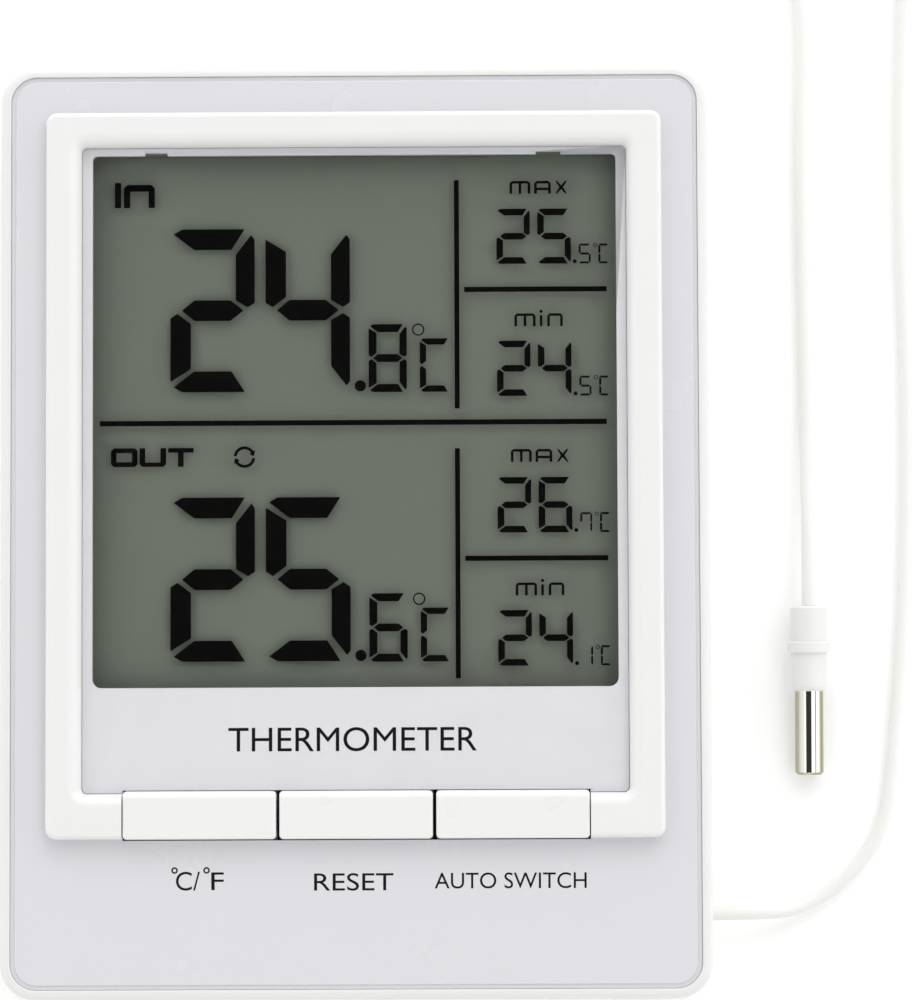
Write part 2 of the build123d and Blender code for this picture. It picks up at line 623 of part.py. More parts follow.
CONTACT = 0.4
SPRING_LENGTH = CELL_X - CELL_LENGTH / 2 - BAY_LOW_X - CONTACT
SPRING_WIRE = 0.5
SPRING_TURNS = 4
TAB_END_Y = CELL_Y + BAY_HALF_DEPTH + 2.6


def contact_plate(low_x):
    """A contact's plate at one end of the bay, with its tab out through the bay wall."""
    high_x = low_x + CONTACT
    span_box((low_x, CELL_Y - 4.6, CELL_Z - 4.0), (high_x, CELL_Y + 4.6, CELL_Z + 5.0))
    span_box((low_x, CELL_Y, CELL_Z - 1.2), (high_x, TAB_END_Y, CELL_Z + 1.2))


with BuildPart() as battery_spring:
    contact_plate(BAY_LOW_X)
    with BuildLine() as coils:
        Helix(
            pitch=(SPRING_LENGTH - SPRING_WIRE) / SPRING_TURNS, height=SPRING_LENGTH - SPRING_WIRE,
            radius=3.6, center=(BAY_LOW_X + CONTACT + SPRING_WIRE / 4, CELL_Y, CELL_Z),
            direction=(1, 0, 0), cone_angle=-12.0,
        )
    spring_path = coils.wire()
    with BuildSketch(Plane(origin=spring_path @ 0, z_dir=spring_path % 0)) as wire_section:
        Circle(SPRING_WIRE / 2)
    sweep(wire_section.sketch, path=spring_path, is_frenet=True)
export_piece(battery_spring, "battery_spring")

with BuildPart() as battery_contact:
    contact_plate(BAY_HIGH_X - CONTACT)
    span_box(
        (CELL_X + CELL_LENGTH / 2, CELL_Y - 2.2, CELL_Z - 2.2),
        (BAY_HIGH_X - CONTACT, CELL_Y + 2.2, CELL_Z + 2.2),
    )
export_piece(battery_contact, "battery_contact")

# ---------------------------------------------------------------- room sensor
SENSOR_X = -34.0
SENSOR_Y = 50.0

with BuildPart() as room_sensor:
    posts([(SENSOR_X, SENSOR_Y)], 1.3, 4.1, 6.7)
    fillet(room_sensor.edges().filter_by(GeomType.CIRCLE), 0.6)
    posts([(SENSOR_X - 0.6, SENSOR_Y), (SENSOR_X + 0.6, SENSOR_Y)], 0.25, 6.6, BOARD_BOTTOM)
export_piece(room_sensor, "room_sensor")

# ---------------------------------------------------------------- sensor lead
with BuildPart() as lead_gland:
    with Locations(Location((0, LEAD_EXIT[1], LEAD_EXIT[2]), (0, 90, 0))):
        with Locations((0, 0, CASE_WIDTH / 2 - WALL - 1.0)):
            Cylinder(2.3, 1.0, align=(Align.CENTER, Align.CENTER, Align.MIN))
        with Locations((0, 0, CASE_WIDTH / 2 - WALL)):
            Cylinder(1.85, WALL, align=(Align.CENTER, Align.CENTER, Align.MIN))
        with Locations((0, 0, CASE_WIDTH / 2)):
            Cylinder(1.85, 0.4, align=(Align.CENTER, Align.CENTER, Align.MIN))
    fillet(lead_gland.edges().sort_by(Axis.X)[-1], 0.3)
export_piece(lead_gland, "lead_gland")

INNER_ROUTE = [
    (CASE_WIDTH / 2 - WALL - 1.0, LEAD_EXIT[1], LEAD_EXIT[2]),
    (40.0, LEAD_EXIT[1], LEAD_EXIT[2]),
    (32.0, -51.0, 5.2),
    (28.5, -44.0, 5.8),
    (28.5, -37.0, 7.4),
    (28.5, -37.0, BOARD_BOTTOM),
]

with BuildPart() as lead_inner:
    lead_tube(INNER_ROUTE, LEAD_DIAMETER)
export_piece(lead_inner, "lead_inner")

# ---------------------------------------------------------------- battery wires
WIRE_DIAMETER = 1.1


def battery_wire(x):
    """One wire from a contact's tab up to the board."""
    return [
        (x, TAB_END_Y, CELL_Z),
        (x, TAB_END_Y + 4.5, CELL_Z + 0.3),
        (x, TAB_END_Y + 7.5, CELL_Z + 1.2),
        (x, TAB_END_Y + 7.5, BOARD_BOTTOM),
    ]


with BuildPart() as battery_wires:
    for wire_x in (BAY_LOW_X + CONTACT / 2, BAY_HIGH_X - CONTACT / 2):
        lead_tube(battery_wire(wire_x), WIRE_DIAMETER)
export_piece(battery_wires, "battery_wires")

# ---------------------------------------------------------------- probe
PROBE_TILT = math.atan((COLLAR_RADIUS - SHEATH_RADIUS) / 17.8)
PROBE_AIM = (0, -math.cos(PROBE_TILT), -math.sin(PROBE_TILT))
PROBE_CENTRE = (PROBE_X, PROBE_COLLAR_Y, COLLAR_RADIUS + 0.05)
PROBE_PLANE = Plane(origin=PROBE_CENTRE, x_dir=PROBE_AIM, z_dir=(1, 0, 0))
PROBE_AXIS = Axis(PROBE_CENTRE, PROBE_AIM)
BOOT_START = -5.9           # distances along the probe from the middle of its collar
BOOT_END = 6.3
SHEATH_START = 3.3
CRIMP_RADIUS = 1.8          # the sheath is narrower where the boot grips it
SHEATH_END = BOOT_END + SHEATH_LENGTH

with BuildPart() as probe_boot:
    with BuildSketch(PROBE_PLANE) as boot_half:
        with BuildLine():
            Polyline(
                (SHEATH_START, 0), (BOOT_START, 0), (BOOT_START, BOOT_RADIUS - 0.3),
                (BOOT_START + 0.3, BOOT_RADIUS), (-0.8, BOOT_RADIUS), (-0.8, COLLAR_RADIUS - 0.15),
                (-0.65, COLLAR_RADIUS), (0.65, COLLAR_RADIUS), (0.8, COLLAR_RADIUS - 0.15),
                (0.8, BOOT_RADIUS - 0.03), (BOOT_END - 0.8, BOOT_RADIUS - 0.08),
            )
            RadiusArc((BOOT_END - 0.8, BOOT_RADIUS - 0.08), (BOOT_END, BOOT_RADIUS - 0.45), 1.1)
            Polyline(
                (BOOT_END, BOOT_RADIUS - 0.45), (BOOT_END, CRIMP_RADIUS),
                (SHEATH_START, CRIMP_RADIUS), (SHEATH_START, 0),
            )
        make_face()
    revolve(boot_half.sketch, axis=PROBE_AXIS)
export_piece(probe_boot, "probe_boot")

with BuildPart() as probe_sheath:
    with BuildSketch(PROBE_PLANE) as sheath_half:
        with BuildLine():
            Polyline(
                (SHEATH_END, 0), (SHEATH_END - 0.25, 0), (SHEATH_END - 0.25, SHEATH_RADIUS - 0.25),
                (BOOT_END + 0.25, SHEATH_RADIUS - 0.25), (BOOT_END, CRIMP_RADIUS - 0.25),
                (SHEATH_START, CRIMP_RADIUS - 0.25), (SHEATH_START, CRIMP_RADIUS),
                (BOOT_END, CRIMP_RADIUS), (BOOT_END, SHEATH_RADIUS),
                (SHEATH_END - 0.35, SHEATH_RADIUS), (SHEATH_END, SHEATH_RADIUS - 0.35), close=True,
            )
        make_face()
    revolve(sheath_half.sketch, axis=PROBE_AXIS)
export_piece(probe_sheath, "probe_sheath")

with BuildPart() as probe_bead:
    with BuildSketch(PROBE_PLANE) as bead_half:
        with BuildLine():
            Polyline(
                (SHEATH_START, 0), (SHEATH_START, 0.5), (SHEATH_END - 4.5, 0.5), (SHEATH_END - 4.0, 1.2),
                (SHEATH_END - 2.3, 1.2), (SHEATH_END - 1.5, 0.6), (SHEATH_END - 1.5, 0), close=True,
            )
        make_face()
    revolve(bead_half.sketch, axis=PROBE_AXIS)
export_piece(probe_bead, "probe_bead")

# ---------------------------------------------------------------- free lead
coil_leave = math.radians(COIL_LEAVES_AT)
COIL_EXIT_RADIUS = COIL_INNER + (COIL_TURNS_ACROSS - 1) * LEAD_DIAMETER
COIL_FIRST_Z = COIL_LIFT + LEAD_DIAMETER / 2
COIL_LAST_Z = COIL_TOP - LEAD_DIAMETER / 2
LEAVE_X = COIL_X + COIL_EXIT_RADIUS * math.cos(coil_leave)
LEAVE_Y = COIL_Y + COIL_EXIT_RADIUS * math.sin(coil_leave)
BOOT_TOP = PROBE_PLANE.from_local_coords((BOOT_START, 0, 0))
BEFORE_BOOT = PROBE_PLANE.from_local_coords((BOOT_START - 9.0, 0, 0))

ROUTE_TO_COIL = [
    LEAD_EXIT,
    (55.6, LEAD_EXIT[1], LEAD_EXIT[2]),
    (63.0, -53.9, LEAD_HEIGHT),
    (69.6, -50.1, LEAD_HEIGHT),
    (75.5, -42.2, LEAD_HEIGHT),
    (76.9, -30.9, LEAD_HEIGHT),
    (78.6, -9.9, LEAD_HEIGHT),
    (79.3, 18.0, LEAD_HEIGHT),
    (78.5, 46.0, LEAD_HEIGHT),
    (78.8, 70.0, LEAD_HEIGHT),
    (79.8, 90.0, LEAD_HEIGHT),
    (80.0, 108.0, LEAD_HEIGHT + 0.1),
    (80.0, 121.0, COIL_FIRST_Z),
]
ROUTE_TO_PROBE = [
    (LEAVE_X, LEAVE_Y, COIL_LAST_Z),
    (50.2, 102.8, 6.2),
    (57.3, 95.8, 2.6),
    (62.4, 88.0, LEAD_HEIGHT),
    (64.7, 77.0, LEAD_HEIGHT),
    (64.2, 58.0, LEAD_HEIGHT),
    (64.4, 34.0, LEAD_HEIGHT),
    (64.7, 14.0, LEAD_HEIGHT),
    tuple(BEFORE_BOOT),
    tuple(BOOT_TOP),
]

loose_length = 0
for lead_name, lead_route in (("lead_to_coil", ROUTE_TO_COIL), ("lead_to_probe", ROUTE_TO_PROBE)):
    with BuildPart() as lead:
        run_length = lead_tube(lead_route, LEAD_DIAMETER)
    export_piece(lead, lead_name)
    loose_length += run_length
    section_area = math.pi * LEAD_DIAMETER**2 / 4
    print(lead_name, "bend radii", [round(radius, 1) for radius in bend_radii(lead_route)])
    print(lead_name, "length", round(run_length, 1), "volume", round(lead.part.volume, 1),
          "section times length", round(section_area * run_length, 1))

with BuildPart() as lead_coil:
    with BuildSketch(Plane.XZ) as bundle:
        with Locations(((COIL_INNER + COIL_EXIT_RADIUS) / 2, (COIL_LIFT + COIL_TOP) / 2)):
            RectangleRounded(COIL_EXIT_RADIUS - COIL_INNER + LEAD_DIAMETER, COIL_TOP - COIL_LIFT, 1.0)
    ring = revolve(bundle.sketch, axis=Axis.Z, mode=Mode.PRIVATE)
    with Locations((COIL_X, COIL_Y, 0)):
        add(ring)
export_piece(lead_coil, "lead_coil")

coil_length = COIL_LAYERS * COIL_TURNS_ACROSS * 2 * math.pi * COIL_MIDDLE_RADIUS
print("coil length", round(coil_length, 1), "whole lead", round(coil_length + loose_length, 1))

TIE_WIDTH = 3.0
TIE_THICKNESS = 0.4
TIE_CLEARANCE = 0.15
TIE_ANGLE = 120.0
TIE_TAIL = 5.2              # the tie's twisted ends stand out by this

with BuildPart() as coil_tie:
    with Locations(Location((COIL_X, COIL_Y, 0), (0, 0, TIE_ANGLE))):
        with Locations((COIL_MIDDLE_RADIUS, 0, (COIL_LIFT + COIL_TOP) / 2)):
            inner_width = COIL_EXIT_RADIUS - COIL_INNER + LEAD_DIAMETER + 2 * TIE_CLEARANCE
            inner_height = COIL_TOP - COIL_LIFT + 2 * 0.05
            Box(inner_width + 2 * TIE_THICKNESS, TIE_WIDTH, inner_height + 2 * TIE_THICKNESS)
            Box(inner_width, TIE_WIDTH + 1, inner_height, mode=Mode.SUBTRACT)
        tail_x = COIL_EXIT_RADIUS + LEAD_DIAMETER / 2 + TIE_CLEARANCE + TIE_THICKNESS
        with Locations((tail_x + TIE_TAIL / 2 - 0.2, 0, COIL_TOP - 1.2)):
            Box(TIE_TAIL, 1.2, 1.2)
export_piece(coil_tie, "coil_tie")
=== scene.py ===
"""Maximum and minimum thermometer with a wired outdoor probe, lying on its back. Metres."""

import json
import math

import bmesh
import bpy
from mathutils import Euler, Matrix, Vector


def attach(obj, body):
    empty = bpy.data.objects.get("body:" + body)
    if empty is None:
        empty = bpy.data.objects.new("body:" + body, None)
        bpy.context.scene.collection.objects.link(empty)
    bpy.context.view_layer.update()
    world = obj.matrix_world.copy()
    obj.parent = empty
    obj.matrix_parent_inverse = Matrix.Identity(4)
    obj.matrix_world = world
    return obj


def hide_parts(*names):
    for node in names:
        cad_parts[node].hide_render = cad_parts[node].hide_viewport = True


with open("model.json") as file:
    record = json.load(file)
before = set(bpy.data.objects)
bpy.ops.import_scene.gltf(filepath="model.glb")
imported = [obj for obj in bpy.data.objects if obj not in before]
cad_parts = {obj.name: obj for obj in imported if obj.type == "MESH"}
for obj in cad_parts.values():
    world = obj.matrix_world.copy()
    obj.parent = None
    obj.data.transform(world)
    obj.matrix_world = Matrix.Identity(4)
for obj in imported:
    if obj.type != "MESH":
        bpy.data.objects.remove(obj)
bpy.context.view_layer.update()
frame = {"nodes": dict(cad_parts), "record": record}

MM = 0.001
nodes = frame["nodes"]
scene = bpy.context.scene
scene.view_settings.view_transform = "Standard"

# ---------------------------------------------------------------- camera
CAMERA_PLACE = Vector((21.1, -44.2, 700.0)) * MM
CAMERA_TURN = (4.055, 0.593, -0.235)     # degrees about X, Y and Z
PICTURE_WIDTH = 912
FOCAL_PIXELS = 4852.4                    # focal length in pixels of a picture of that width
SENSOR = 36.0

camera_data = bpy.data.cameras.new("camera")
camera_data.sensor_fit = "HORIZONTAL"
camera_data.sensor_width = SENSOR
camera_data.lens = FOCAL_PIXELS / PICTURE_WIDTH * SENSOR
camera_data.clip_start = 0.05
camera_data.clip_end = 20.0
camera = bpy.data.objects.new("camera", camera_data)
camera.location = CAMERA_PLACE
camera.rotation_euler = Euler([math.radians(a) for a in CAMERA_TURN])
scene.collection.objects.link(camera)
scene.camera = camera

# ---------------------------------------------------------------- materials
NOISE_MIDDLE = (0.3, 0.7)       # the range most of a noise texture's values fall in
COLOUR_DRIFT_SIZE = 25.0        # millimetres
GLOSS_DRIFT_SIZE = 8.0
GLOSS_DRIFT = 0.12              # of the roughness, either way
MIRROR_POWER = 5.0              # how late a clear sheet's mirroring rises towards a low angle
MIRROR_RISE = 0.8
PAINTED_EDGE_SHADE_FALL = (0.08, 0.5)       # the range of facing over which the plating takes its painted edge colour, a painted reflection and shade
NICKEL_GRAIN = 0.2
NICKEL_GRAIN_DEPTH = 0.0002
NICKEL_BRUSHING = (1, 0.15, 1)  # grain drawn out along the sheath


def new_material(slot):
    material = bpy.data.materials.new(slot)
    material.use_nodes = True
    tree = material.node_tree
    tree.nodes.clear()
    output = tree.nodes.new("ShaderNodeOutputMaterial")
    return material, tree, output


def noise(tree, size, detail, stretch=(1, 1, 1)):
    """Noise whose features are about size millimetres across, in the object's own space."""
    place = tree.nodes.new("ShaderNodeTexCoord")
    mapping = tree.nodes.new("ShaderNodeMapping")
    mapping.inputs["Scale"].default_value = [v / (size * MM) for v in stretch]
    texture = tree.nodes.new("ShaderNodeTexNoise")
    texture.inputs["Scale"].default_value = 1.0
    texture.inputs["Detail"].default_value = detail
    tree.links.new(place.outputs["Object"], mapping.inputs["Vector"])
    tree.links.new(mapping.outputs["Vector"], texture.inputs["Vector"])
    return texture.outputs["Fac"]


def spread(tree, value, low, high):
    """A noise value's middle range, spread from low to high."""
    ranged = tree.nodes.new("ShaderNodeMapRange")
    ranged.inputs["From Min"].default_value = NOISE_MIDDLE[0]
    ranged.inputs["From Max"].default_value = NOISE_MIDDLE[1]
    ranged.inputs["To Min"].default_value = low
    ranged.inputs["To Max"].default_value = high
    tree.links.new(value, ranged.inputs["Value"])
    return ranged.outputs["Result"]


def tinted(tree, value, first, second):
    """A colour that a value from 0 to 1 moves from the first to the second."""
    mix = tree.nodes.new("ShaderNodeMix")
    mix.data_type = "RGBA"
    mix.inputs["A"].default_value = (*first, 1)
    mix.inputs["B"].default_value = (*second, 1)
    tree.links.new(value, mix.inputs["Factor"])
    return mix.outputs["Result"]


def bumped(tree, value, depth):
    """A bump of that many millimetres."""
    bump = tree.nodes.new("ShaderNodeBump")
    bump.inputs["Strength"].default_value = 1.0
    bump.inputs["Distance"].default_value = depth * MM
    tree.links.new(value, bump.inputs["Height"])
    return bump.outputs["Normal"]


def surface(slot, colour, roughness, drift=0.03, grain=0.35, depth=0.002, **fixed):
    """A solid surface: a slow drift of colour, uneven gloss and a fine grain."""
    material, tree, output = new_material(slot)
    shader = tree.nodes.new("ShaderNodeBsdfPrincipled")
    darker = [c * (1 - drift) for c in colour]
    shade = tinted(tree, noise(tree, COLOUR_DRIFT_SIZE, 1), colour, darker)
    gloss = spread(
        tree, noise(tree, GLOSS_DRIFT_SIZE, 2),
        roughness * (1 - GLOSS_DRIFT), roughness * (1 + GLOSS_DRIFT),
    )
    tree.links.new(shade, shader.inputs["Base Color"])
    tree.links.new(gloss, shader.inputs["Roughness"])
    tree.links.new(bumped(tree, noise(tree, grain, 2), depth), shader.inputs["Normal"])
    for socket, value in fixed.items():
        shader.inputs[socket.replace("_", " ")].default_value = value
    tree.links.new(shader.outputs["BSDF"], output.inputs["Surface"])
    return material


def clear(slot, tint, mirroring, roughness):
    """A thin clear sheet: light goes straight through and is tinted, and a little is mirrored,
    more at a low angle."""
    material, tree, output = new_material(slot)
    through = tree.nodes.new("ShaderNodeBsdfTransparent")
    through.inputs["Color"].default_value = (*tint, 1)
    mirror = tree.nodes.new("ShaderNodeBsdfGlossy")
    mirror.inputs["Roughness"].default_value = roughness
    lean = tree.nodes.new("ShaderNodeLayerWeight")
    lean.inputs["Blend"].default_value = 0.5
    steep = tree.nodes.new("ShaderNodeMath")
    steep.operation = "POWER"
    steep.inputs[1].default_value = MIRROR_POWER
    amount = tree.nodes.new("ShaderNodeMath")
    amount.operation = "MULTIPLY_ADD"
    amount.inputs[1].default_value = MIRROR_RISE
    amount.inputs[2].default_value = mirroring
    mix = tree.nodes.new("ShaderNodeMixShader")
    tree.links.new(lean.outputs["Facing"], steep.inputs[0])
    tree.links.new(steep.outputs["Value"], amount.inputs[0])
    tree.links.new(amount.outputs["Value"], mix.inputs["Fac"])
    tree.links.new(through.outputs["BSDF"], mix.inputs[1])
    tree.links.new(mirror.outputs["BSDF"], mix.inputs[2])
    tree.links.new(mix.outputs["Shader"], output.inputs["Surface"])
    return material


def nickel_with_painted_edges(slot, middle, painted_edge_colour, roughness):
    """Bright plating with a painted reflection and shade: its colour turns darker and browner
    where it faces away from the view.
    """
    material, tree, output = new_material(slot)
    shader = tree.nodes.new("ShaderNodeBsdfPrincipled")
    lean = tree.nodes.new("ShaderNodeLayerWeight")
    lean.inputs["Blend"].default_value = 0.5
    # painted reflection and shade: the share of the darker, browner edge colour rises as the
    # surface turns away from the view
    painted_edge_share = tree.nodes.new("ShaderNodeMapRange")
    painted_edge_share.interpolation_type = "SMOOTHSTEP"
    painted_edge_share.inputs["From Min"].default_value = PAINTED_EDGE_SHADE_FALL[0]
    painted_edge_share.inputs["From Max"].default_value = PAINTED_EDGE_SHADE_FALL[1]
    shade = tinted(tree, painted_edge_share.outputs["Result"], middle, painted_edge_colour)
    grain = bumped(tree, noise(tree, NICKEL_GRAIN, 2, NICKEL_BRUSHING), NICKEL_GRAIN_DEPTH)
    tree.links.new(lean.outputs["Facing"], painted_edge_share.inputs["Value"])
    tree.links.new(shade, shader.inputs["Base Color"])
    tree.links.new(grain, shader.inputs["Normal"])
    shader.inputs["Metallic"].default_value = 1.0
    shader.inputs["Roughness"].default_value = roughness
    tree.links.new(shader.outputs["BSDF"], output.inputs["Surface"])
    return material


# grain and depth are millimetres; names with a capital are the shader's own sockets
SURFACES = {
    "case_white": dict(colour=(0.80, 0.80, 0.79), roughness=0.36, drift=0.02, IOR=1.5),
    "face_plate": dict(
        colour=(0.72, 0.72, 0.755), roughness=0.25, drift=0.008, grain=0.8, depth=0.0004,
        Coat_Weight=0.3, Coat_Roughness=0.08,
    ),
    "frame_white": dict(colour=(0.82, 0.82, 0.82), roughness=0.32, drift=0.008),
    "key_white": dict(colour=(0.83, 0.83, 0.83), roughness=0.3, drift=0.008),
    "surround_pale": dict(
        colour=(0.82, 0.815, 0.85), roughness=0.4, drift=0.01, grain=0.2, depth=0.001,
    ),
    "lcd_back": dict(
        colour=(0.48, 0.505, 0.47), roughness=0.6, drift=0.02, grain=0.12, depth=0.003,
    ),
    "lcd_black": dict(
        colour=(0.004, 0.004, 0.004), roughness=0.5, drift=0.0, Specular_IOR_Level=0.02,
    ),
    "print_black": dict(
        colour=(0.008, 0.007, 0.009), roughness=0.5, drift=0.1, grain=0.1, depth=0.0008,
        Specular_IOR_Level=0.1,
    ),
    "holder_plastic": dict(colour=(0.55, 0.55, 0.53), roughness=0.5),
    "contact_rubber": dict(colour=(0.35, 0.36, 0.37), roughness=0.7),
    "board_green": dict(
        colour=(0.03, 0.16, 0.06), roughness=0.35, drift=0.15, grain=0.6, depth=0.01,
    ),
    "epoxy_black": dict(
        colour=(0.01, 0.01, 0.01), roughness=0.3, drift=0.2, grain=2.0, depth=0.05,
    ),
    "crystal_can": dict(colour=(0.72, 0.72, 0.72), roughness=0.18, Metallic=1.0),
    "ceramic_tan": dict(colour=(0.42, 0.28, 0.16), roughness=0.45),
    "resistor_black": dict(colour=(0.02, 0.02, 0.02), roughness=0.4),
    "screw_steel": dict(
        colour=(0.55, 0.54, 0.52), roughness=0.32, drift=0.05, grain=0.15, depth=0.004,
        Metallic=1.0,
    ),
    "switch_black": dict(colour=(0.02, 0.02, 0.022), roughness=0.4),
    "contact_steel": dict(
        colour=(0.65, 0.63, 0.58), roughness=0.25, drift=0.05, grain=0.2, Metallic=1.0,
    ),
    "plunger_plastic": dict(colour=(0.12, 0.12, 0.13), roughness=0.45),
    "cell_jacket": dict(
        colour=(0.05, 0.09, 0.20), roughness=0.3, drift=0.1, grain=1.0, depth=0.003,
        Metallic=0.4,
    ),
    "door_white": dict(
        colour=(0.78, 0.78, 0.77), roughness=0.42, drift=0.02, grain=0.3, depth=0.004,
    ),
    "sensor_bead": dict(colour=(0.03, 0.03, 0.035), roughness=0.35),
    "lead_pvc": dict(colour=(0.86, 0.86, 0.845), roughness=0.42, grain=0.5, depth=0.004),
    "gland_pvc": dict(colour=(0.78, 0.775, 0.765), roughness=0.5, grain=0.4, depth=0.004),
    "boot_pvc": dict(colour=(0.83, 0.825, 0.82), roughness=0.45, grain=0.4, depth=0.005),
    "wire_red": dict(colour=(0.45, 0.02, 0.02), roughness=0.45),
    "tie_white": dict(colour=(0.78, 0.78, 0.77), roughness=0.5, grain=0.3, depth=0.006),
}
MATERIALS = {slot: surface(slot, **look) for slot, look in SURFACES.items()}
MATERIALS["window_clear"] = clear("window_clear", (0.985, 0.985, 0.985), 0.025, 0.02)
MATERIALS["lcd_glass"] = clear("lcd_glass", (0.8, 0.815, 0.79), 0.002, 0.05)
MATERIALS["lcd_film"] = clear("lcd_film", (0.64, 0.66, 0.62), 0.01, 0.15)
# the sheath's darker, browner edges are a painted reflection and shade
MATERIALS["sheath_nickel"] = nickel_with_painted_edges(
    "sheath_nickel", (0.92, 0.91, 0.87), (0.40, 0.37, 0.25), 0.06,
)


def dress(obj, slot):
    obj.data.materials.clear()
    obj.data.materials.append(MATERIALS[slot])


for subpart in frame["record"]["subparts"]:
    dress(nodes[subpart["node"]], subpart["material_slot"])


# ---------------------------------------------------------------- shapes used more than once
def add_object(name, data, slot=None):
    """A new object, dressed with its slot's material where it has one."""
    obj = bpy.data.objects.new(name, data)
    scene.collection.objects.link(obj)
    if slot:
        dress(obj, slot)
    return obj


def prism(name, outlines, bottom, top, slot, place=lambda a, b, c: (a, b, c)):
    """Closed solids between two levels, one for each outline, in millimetres."""
    mesh = bpy.data.meshes.new(name)
    builder = bmesh.new()
    for outline in outlines:
        low = [builder.verts.new(Vector(place(a, b, bottom)) * MM) for a, b in outline]
        high = [builder.verts.new(Vector(place(a, b, top)) * MM) for a, b in outline]
        builder.faces.new(low[::-1])
        builder.faces.new(high)
        for i in range(len(outline)):
            j = (i + 1) % len(outline)
            builder.faces.new((low[i], low[j], high[j], high[i]))
    bmesh.ops.recalc_face_normals(builder, faces=builder.faces)
    builder.to_mesh(mesh)
    builder.free()
    return add_object(name, mesh, slot)


# ---------------------------------------------------------------- sensor lead
LEAD_DIAMETER = 2.0
LEAD_HEIGHT = 1.02
LEAD_EXIT = (50.4, -54.2, 4.4)
COIL_X = 58.0
COIL_Y = 126.0
COIL_INNER = 12.0
COIL_TURNS_ACROSS = 6
COIL_LAYERS = 4
COIL_LIFT = 0.5
COIL_LAST_ANGLE = 217.0                  # degrees round the last turn, where the lead leaves it
COIL_OUTER = COIL_INNER + (COIL_TURNS_ACROSS - 1) * LEAD_DIAMETER
COIL_FIRST_Z = COIL_LIFT + LEAD_DIAMETER / 2
POINTS_PER_TURN = 16
SHIFT_FROM = 290.0                       # degrees round each turn where it starts to shift

PROBE_X = 64.65
PROBE_COLLAR_Y = -16.15
PROBE_CLEARANCE = 0.05                   # under the collar
COLLAR_RADIUS = 3.1
SHEATH_RADIUS = 2.05
COLLAR_TO_TIP = 17.8
BOOT_START = -5.9                        # along the probe's axis from the collar's middle
LEAD_STRAIGHT = 9.0                      # before the boot
PROBE_TILT = math.atan((COLLAR_RADIUS - SHEATH_RADIUS) / COLLAR_TO_TIP)
PROBE_AIM = Vector((0, -math.cos(PROBE_TILT), -math.sin(PROBE_TILT)))
PROBE_CENTRE = Vector((PROBE_X, PROBE_COLLAR_Y, COLLAR_RADIUS + PROBE_CLEARANCE))


def on_probe(distance):
    """The point on the probe's axis at a distance from the middle of its collar."""
    return tuple(PROBE_CENTRE + PROBE_AIM * distance)


def coil_turns():
    """The wound part. Each turn is round, then shifts by a diameter, and each layer ends with
    a climb to the next."""
    points = []
    # the spline runs inside its points, so these stand out a little
    stand_out = 1 / math.cos(math.pi / POINTS_PER_TURN)
    for layer in range(COIL_LAYERS):
        shift_way = -1 if layer % 2 == 0 else 1
        first_radius = COIL_OUTER if layer % 2 == 0 else COIL_INNER
        for turn in range(COIL_TURNS_ACROSS):
            last_turn = turn == COIL_TURNS_ACROSS - 1
            for step in range(POINTS_PER_TURN):
                angle = 360 * step / POINTS_PER_TURN
                if layer == COIL_LAYERS - 1 and last_turn and angle > COIL_LAST_ANGLE:
                    return points
                change = max(0.0, (angle - SHIFT_FROM) / (360 - SHIFT_FROM))
                shift = LEAD_DIAMETER * (turn + (0 if last_turn else change))
                climb = LEAD_DIAMETER * (layer + (change if last_turn else 0))
                radius = stand_out * (first_radius + shift_way * shift)
                points.append((
                    COIL_X + radius * math.cos(math.radians(angle)),
                    COIL_Y + radius * math.sin(math.radians(angle)),
                    COIL_FIRST_Z + climb,
                ))


ROUTE_TO_COIL = [
    LEAD_EXIT,
    (55.6, -54.2, 4.4),
    (63.0, -53.9, LEAD_HEIGHT),
    (69.6, -50.1, LEAD_HEIGHT),
    (75.5, -42.2, LEAD_HEIGHT),
    (76.9, -30.9, LEAD_HEIGHT),
    (78.6, -9.9, LEAD_HEIGHT),
    (79.3, 18.0, LEAD_HEIGHT),
    (78.5, 46.0, LEAD_HEIGHT),
    (78.8, 70.0, LEAD_HEIGHT),
    (79.8, 90.0, LEAD_HEIGHT),
    (80.0, 108.0, LEAD_HEIGHT + 0.1),
    (80.0, 121.0, COIL_FIRST_Z),
]
ROUTE_TO_PROBE = [
    (50.2, 102.8, 6.2),
    (57.3, 95.8, 2.6),
    (62.4, 88.0, LEAD_HEIGHT),
    (64.7, 77.0, LEAD_HEIGHT),
    (64.2, 58.0, LEAD_HEIGHT),
    (64.4, 34.0, LEAD_HEIGHT),
    (64.7, 14.0, LEAD_HEIGHT),
    on_probe(BOOT_START - LEAD_STRAIGHT),
    on_probe(BOOT_START),
]

lead_curve = bpy.data.curves.new("sensor_lead", "CURVE")
lead_curve.dimensions = "3D"
lead_curve.bevel_depth = 1.0    # each point's radius is the lead's, so the bounds stay true
lead_curve.bevel_resolution = 5
lead_curve.resolution_u = 8
lead_curve.use_fill_caps = True
lead_spline = lead_curve.splines.new("NURBS")
lead_points = ROUTE_TO_COIL + coil_turns() + ROUTE_TO_PROBE
lead_spline.points.add(len(lead_points) - 1)
for spline_point, place in zip(lead_spline.points, lead_points):
    spline_point.co = (*(Vector(place) * MM), 1.0)
    spline_point.radius = LEAD_DIAMETER / 2 * MM
lead_spline.order_u = 3
lead_spline.use_endpoint_u = True
sensor_lead = add_object("sensor_lead", lead_curve, "lead_pvc")
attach(sensor_lead, "case")
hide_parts("lead_to_coil", "lead_coil", "lead_to_probe")

# ---------------------------------------------------------------- display cell
CELL_HALF = 37.9
CELL_UPPER = 53.95
CELL_LOWER = -25.4
CELL_REAR_UPPER = 53.35
CELL_REAR_LOWER = -22.8
CELL_BOTTOM = 14.92
CELL_MIDDLE = 16.0
CELL_TOP = 17.28

